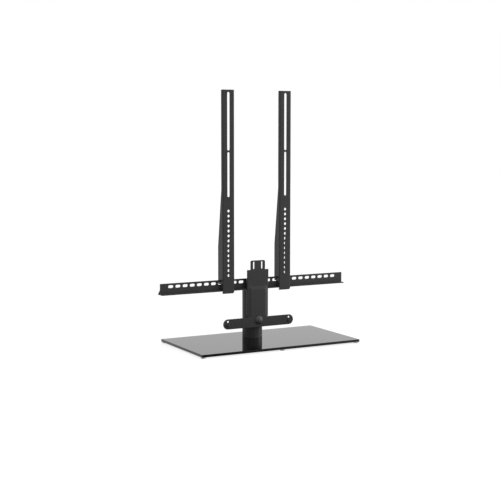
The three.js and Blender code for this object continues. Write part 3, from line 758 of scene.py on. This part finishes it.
def adapter_block():
    low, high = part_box("bar_block")
    left, right, bottom, top = (v * MM_PER_METRE for v in (low.x, high.x, low.z, high.z))
    outline = [(left, bottom), (right, bottom), (right, top), (left, top)]
    middle = (bottom + top) / 2
    bores = [circle(x, middle, M8_BORE_RADIUS) for x in (-BAR_BOLT_X, BAR_BOLT_X)]
    bm = cut_plate("bar_block", [outline] + bores)
    finish_piece("crossbar_seat", bm, "mast", "black_steel", ["bar_block"], edge=0.6)


adapter_block()


# Long bracket with its cap and screws

BRACKET_REACH = 108.15


def soundbar_plate():
    """Long plate with round ends, a bore for the middle bolt and a hole in each end."""
    z, end_radius, end_steps = 65.25, 15.85, 32
    hole_inset, hole_rise, hole_radius = 0.2, 8.1, 3.1
    outline = arc(BRACKET_REACH, z, end_radius, -90, 90, end_steps)
    outline += arc(-BRACKET_REACH, z, end_radius, 90, 270, end_steps)
    loops = [outline, circle(0, LOWER_BOLT_Z, M8_BORE_RADIUS)]
    for side in (-1, 1):
        x = side * (BRACKET_REACH - hole_inset)
        loops.append(circle(x, z + hole_rise, hole_radius))
    bm = cut_plate("soundbar_bracket", loops)
    finish_piece("soundbar_plate", bm, "mast", "dark_metal", ["soundbar_bracket"], edge=0.35)


soundbar_plate()


def plate_cap():
    """Domed cap with a soft rim over the head of the middle bolt."""
    back_y, height, radius, crown, shoulder = 9.3, 7.0, 13.5, 6.0, 0.25
    hollow_radius, hollow_depth, dome_steps = 7.6, 5.0, 18
    sphere = (radius * radius + crown * crown) / (2 * crown)
    spread = math.degrees(math.asin((radius - shoulder) / sphere))
    dome = arc(0, height - sphere, sphere, 90, 90 - spread, dome_steps)
    soft_rim = [(radius - 0.08, 0.95), (radius, 0.7), (radius, 0.0)]
    hollow = [(hollow_radius, 0.0), (hollow_radius, hollow_depth), (0, hollow_depth)]
    profile = [(0, height)] + dome[1:] + soft_rim + hollow
    bm = turned(profile, mm(0, back_y, LOWER_BOLT_Z), "-y", steps=96)
    finish_piece("plate_knob", bm, "mast", "black_plastic", ["bracket_cap"], edge=0)


plate_cap()


def plate_screws():
    """Standing screws with a collar that suits a keyhole, and their nuts."""
    y, z, overlap = 7.8, 61.55, 0.05
    head_radius, head_height, collar_radius, collar_length = 4.5, 2.0, 3.5, 1.55
    thread_radius, thread_length, pitch = 2.5, 9.7, 0.8
    across_flats, nut_bore = 8.0, 2.8
    for side, x in (("left", -BRACKET_REACH), ("right", BRACKET_REACH)):
        recess = cross_recess(reach=1.7, half=0.42)
        bm = recessed_head(head_radius, head_height, recess, depth=1.2, rim=0.7)
        tip(bm, "-y")
        move(bm, mm(x, y, z))
        collar = rod(collar_radius, 0, collar_length)
        merge_into(bm, turned(collar, mm(x, y - overlap, z), "y", SCREW_STEPS))
        thread = threaded(thread_radius, 0, thread_length, pitch)
        merge_into(bm, turned(thread, mm(x, y, z), "y", SCREW_STEPS))
        nodes = [f"bracket_screw_{side}"]
        finish_piece(f"standing_screw_{side}", bm, "mast", "dark_metal", nodes, edge=0.1)
        nodes = [f"bracket_nut_{side}"]
        loops = [hexagon(across_flats), circle(0, 0, nut_bore)]
        bm = cut_plate(nodes[0], loops, x, z)
        finish_piece(f"plate_nut_{side}", bm, "mast", "zinc_steel", nodes, edge=0.35)


plate_screws()


# Screws and nuts at the back


def socket_bolt(x, y, z, length):
    """M8 button head with a hexagon socket on the plane Y = y, and its shank in front."""
    radius, height, key, overlap = 7.0, 4.4, 5.0, 0.1
    bm = recessed_head(radius, height, hexagon(key), height * 0.6, rim=height * 0.75)
    tip(bm, "y")
    move(bm, mm(x, y, z))
    shank = rod(M8_RADIUS, 0, length)
    merge_into(bm, turned(shank, mm(x, y + overlap, z), "-y", SCREW_STEPS))
    return bm


def rear_screws():
    """Bolt and dome nut of the column, and the bolts and washers of the crossbar."""
    head_y, column_length, bar_length, gap = 89.6, 69.0, 18.6, 0.1
    washer_radius, washer_edge = 8.0, 0.2
    bm = socket_bolt(0, head_y, mid_height("clamp_bolt_upper"), column_length)
    nodes = ["clamp_bolt_upper"]
    finish_piece("column_bolt_upper", bm, "mast", "black_steel", nodes, edge=0.12)

    z, start = mid_height("dome_nut"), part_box("dome_nut")[0].y * MM_PER_METRE
    across_flats, hexagon_length, sphere, tip_at, neck = 13.0, 7.0, 6.6, 12.9, 6.0
    dome_foot, neck_radius, dome_steps = 6.25, 6.2, 14
    bm = extruded(
        [hexagon(across_flats)], lambda u, v: mm(u, start, z + v), mm(0, hexagon_length, 0),
    )
    dome = [(0, tip_at)] + arc(0, tip_at - sphere, sphere, 85, 20, dome_steps)
    dome += [(dome_foot, hexagon_length), (neck_radius, neck), (0, neck)]
    merge_into(bm, turned(dome, mm(0, start, z), "y", steps=48))
    finish_piece("column_dome_nut", bm, "mast", "zinc_steel", ["dome_nut"], edge=0.35)

    for side, x in (("left", -BAR_BOLT_X), ("right", BAR_BOLT_X)):
        node = f"bar_washer_{side}"
        low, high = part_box(node)
        z = mid_height(node)
        depth = (high.y - low.y) * MM_PER_METRE
        profile = pipe(M8_BORE_RADIUS, washer_radius, 0, depth, washer_edge)
        bm = turned(profile, mm(x, low.y * MM_PER_METRE, z), "y")
        finish_piece(f"crossbar_washer_{side}", bm, "mast", "zinc_steel", [node], edge=0)
        bm = socket_bolt(x, high.y * MM_PER_METRE + gap, z, bar_length)
        nodes = [f"bar_bolt_{side}"]
        finish_piece(f"crossbar_bolt_{side}", bm, "mast", "black_steel", nodes, edge=0.12)


rear_screws()


# Crossbar


def crossbar():
    """Slotted face, with a foot in front, a sloping brace behind and one base."""
    half = 323.0
    face_front, sheet, face_low, top_edge = 36.8, 3.0, 168.4, 0.8
    slot_z, slot_length, slot_height, pitch, slots_each_side = 191.4, 17.2, 8.6, 24.0, 12
    outline = rounded([
        (-half, face_low, 0), (half, face_low, 0),
        (half, BAR_TOP, top_edge), (-half, BAR_TOP, top_edge),
    ], steps=3)
    numbers = range(-slots_each_side, slots_each_side + 1)
    slots = [level_slot(pitch * i, slot_z, slot_length, slot_height) for i in numbers]
    bm = extruded([outline] + slots, lambda u, v: mm(u, face_front, v), mm(0, sheet, 0))

    # Section of the base and brace, as (y, z, radius) corners; the brace runs into the face
    front, back, bottom, foot_top = 23.1, 53.5, 167.0, 170.0
    overlap, underside, brace_end, slope = 0.9, 178.9, 49.15, 13.0 / 13.7
    brace_y = face_front + sheet - overlap
    section = [
        (front, foot_top, 0.5), (front, bottom, 0.5), (back, bottom, 0.9), (back, foot_top, 0.9),
        (brace_y, foot_top + slope * (back - brace_y), 0),
        (brace_y, underside + slope * overlap, 0), (brace_end, foot_top, 0.5),
    ]
    outline = rounded(section, steps=4)
    merge_into(bm, extruded([outline], lambda u, v: mm(-half, u, v), mm(2 * half, 0, 0)))
    finish_piece("slotted_crossbar", bm, "mast", "dark_metal", ["crossbar"])


crossbar()


# Rails


def rail(side, x):
    """Folded sheet: slotted face, tapering sides that hook on the crossbar, a lip below."""
    sheet, front, face, half, bend, bend_steps = 2.5, 19.7, 16.85, 20.35, 3.5, 8
    inner_y = front + bend
    lip_z, bend_z, top = 159.5, 163.0, 785.0
    side_low, side_next = 171.5, 166.0
    bm = bmesh.new()

    # Face, with two long slots above and a row of short ones below
    outline = [(-face, bend_z), (face, bend_z), (face, top), (-face, top)]
    upper_slot, middle_slot = (600.7, 778.1, 8.8), (458.3, 595.9, 7.9)
    slots = [upright_slot(0, *upper_slot), upright_slot(0, *middle_slot)]
    row_top, pitch, short_half, short_width, row_count = 415.5, 15.34, 4.3, 7.9, 14
    for i in range(row_count):
        z = row_top - pitch * i
        slots.append(upright_slot(0, z - short_half, z + short_half, short_width))
    fill_loops(bm, [[mm(x + u, front, v) for u, v in loop] for loop in [outline] + slots])

    # Bends, which run out towards the lip, and sides, which end above it
    low_ends = {bend_steps: side_low, bend_steps - 1: side_next}
    shallow, deep, taper_low, taper_high = 29.9, 53.0, 305.0, 483.0
    notch_front, notch_back, notch_top, nose_low = 36.3, 40.3, 201.7, 187.9
    profile = rounded([
        (inner_y, side_low, 0), (notch_front, side_low, 1.5), (notch_front, notch_top, 0.6),
        (notch_back, notch_top, 0.6), (notch_back, nose_low, 2.5), (deep, nose_low, 4.0),
        (deep, taper_low, 6.0), (shallow, taper_high, 6.0), (shallow, top, 3.0),
        (inner_y, top, 0),
    ])
    for hand in (-1, 1):
        rows = []
        for k in range(bend_steps + 1):
            angle = math.radians(90 * k / bend_steps)
            px, py = face + bend * math.sin(angle), inner_y - bend * math.cos(angle)
            rows.append([mm(x + hand * px, py, z) for z in (low_ends.get(k, bend_z), top)])
        add_sheet(bm, rows)
        fill_loops(bm, [[mm(x + hand * half, u, v) for u, v in profile]])

    # Lip under the crossbar, with the bore of the lock screw
    lip_back, lip_corner, screw_y, screw_bore = 34.5, 4.0, 28.5, 3.3
    curve = arc(inner_y, bend_z, bend, 180, 270, bend_steps)
    add_sheet(bm, [[mm(x + s * face, y, z) for s in (-1, 1)] for y, z in curve])
    lip = rounded([
        (-face, inner_y, 0), (face, inner_y, 0),
        (face, lip_back, lip_corner), (-face, lip_back, lip_corner),
    ])
    bore = circle(0, screw_y, screw_bore)
    fill_loops(bm, [[mm(x + u, v, lip_z) for u, v in loop] for loop in (lip, bore)])
    bmesh.ops.remove_doubles(bm, verts=bm.verts[:], dist=SHEET_WELD)
    face_out(bm, Vector((0, -1, 0)))
    body = f"{side}_rail"
    finish_piece(f"{side}_upright", bm, body, "dark_metal", [body], wall=sheet)

    thread = threaded(3.0, low=159.8, high=166.7, pitch=1.0, root=0.84)
    screw = turned(thread, mm(x, screw_y, 0), steps=SCREW_STEPS)
    nodes = [f"{side}_lock_screw"]
    finish_piece(f"{side}_grub_screw", screw, body, "black_steel", nodes, edge=0)


rail("left", -100.0)
rail("right", 100.0)


# Floor, backdrop and lamps

WHITE = (1.0, 1.0, 1.0, 1.0)


def seen_as_white(tree, path):
    """1 for rays of the camera, of gloss and of transmission, and 0 for the rest."""
    value = path.outputs["Is Camera Ray"]
    for kind in ("Is Glossy Ray", "Is Transmission Ray"):
        node = tree.nodes.new("ShaderNodeMath")
        node.operation = "MAXIMUM"
        tree.links.new(value, node.inputs[0])
        tree.links.new(path.outputs[kind], node.inputs[1])
        value = node.outputs["Value"]
    return value


def floor():
    """Grey floor that the camera and gloss see as nearly white, and whiter far away."""
    bm = bmesh.new()
    bmesh.ops.create_grid(bm, x_segments=1, y_segments=1, size=12.0)
    mesh = bpy.data.meshes.new("floor")
    bm.to_mesh(mesh)
    bm.free()
    mat, tree, shader, coords = material("pale_floor")
    shader.inputs["Base Color"].default_value = (0.24, 0.24, 0.24, 1.0)
    shader.inputs["Roughness"].default_value = 0.9
    shader.inputs["Specular IOR Level"].default_value = 0.0
    path = tree.nodes.new("ShaderNodeLightPath")
    away = tree.nodes.new("ShaderNodeVectorMath")
    away.operation = "LENGTH"
    tree.links.new(coords, away.inputs[0])
    glow = ramp(tree, away.outputs["Value"], low=0.79, high=0.88, low_at=1.0, high_at=4.0)
    level = tree.nodes.new("ShaderNodeMath")
    level.operation = "MULTIPLY"
    tree.links.new(seen_as_white(tree, path), level.inputs[0])
    tree.links.new(glow, level.inputs[1])
    shader.inputs["Emission Color"].default_value = WHITE
    tree.links.new(level.outputs["Value"], shader.inputs["Emission Strength"])
    mesh.materials.append(mat)
    piece = bpy.data.objects.new("floor", mesh)
    scene.collection.objects.link(piece)


floor()


def surroundings():
    """White for the camera and gloss; otherwise a room, brighter at the right and behind."""
    bright_side = (0.86, 0.50, 0.0)
    world = bpy.data.worlds.new("studio")
    scene.world = world
    world.use_nodes = True
    tree = world.node_tree
    tree.nodes.clear()
    out = tree.nodes.new("ShaderNodeOutputWorld")
    path = tree.nodes.new("ShaderNodeLightPath")
    coords = tree.nodes.new("ShaderNodeTexCoord")
    toward = tree.nodes.new("ShaderNodeVectorMath")
    toward.operation = "DOT_PRODUCT"
    toward.inputs[1].default_value = bright_side
    tree.links.new(coords.outputs["Generated"], toward.inputs[0])
    level = ramp(tree, toward.outputs["Value"], low=0.42, high=1.0, low_at=-0.9, high_at=0.9)
    room = tree.nodes.new("ShaderNodeBackground")
    room.inputs["Color"].default_value = WHITE
    tree.links.new(level, room.inputs["Strength"])
    white = tree.nodes.new("ShaderNodeBackground")
    white.inputs["Color"].default_value = WHITE
    white.inputs["Strength"].default_value = 1.0
    mix = tree.nodes.new("ShaderNodeMixShader")
    tree.links.new(seen_as_white(tree, path), mix.inputs["Fac"])
    tree.links.new(room.outputs["Background"], mix.inputs[1])
    tree.links.new(white.outputs["Background"], mix.inputs[2])
    tree.links.new(mix.outputs["Shader"], out.inputs["Surface"])


surroundings()


def lamp(name, place, size, watts):
    """Square softbox that faces the crossbar; its place and size are in metres."""
    data = bpy.data.lights.new(name, "AREA")
    data.shape = "SQUARE"
    data.size = size
    data.energy = watts
    piece = bpy.data.objects.new(name, data)
    piece.location = place
    crossbar_middle = Vector((0.0, 0.0, 0.2))
    aim = crossbar_middle - Vector(place)
    piece.rotation_euler = aim.to_track_quat("-Z", "Y").to_euler()
    scene.collection.objects.link(piece)


lamp("softbox_right", place=(2.18, -0.75, 0.75), size=1.3, watts=28.0)
lamp("softbox_top", place=(-0.2, -0.6, 2.8), size=2.0, watts=26.0)
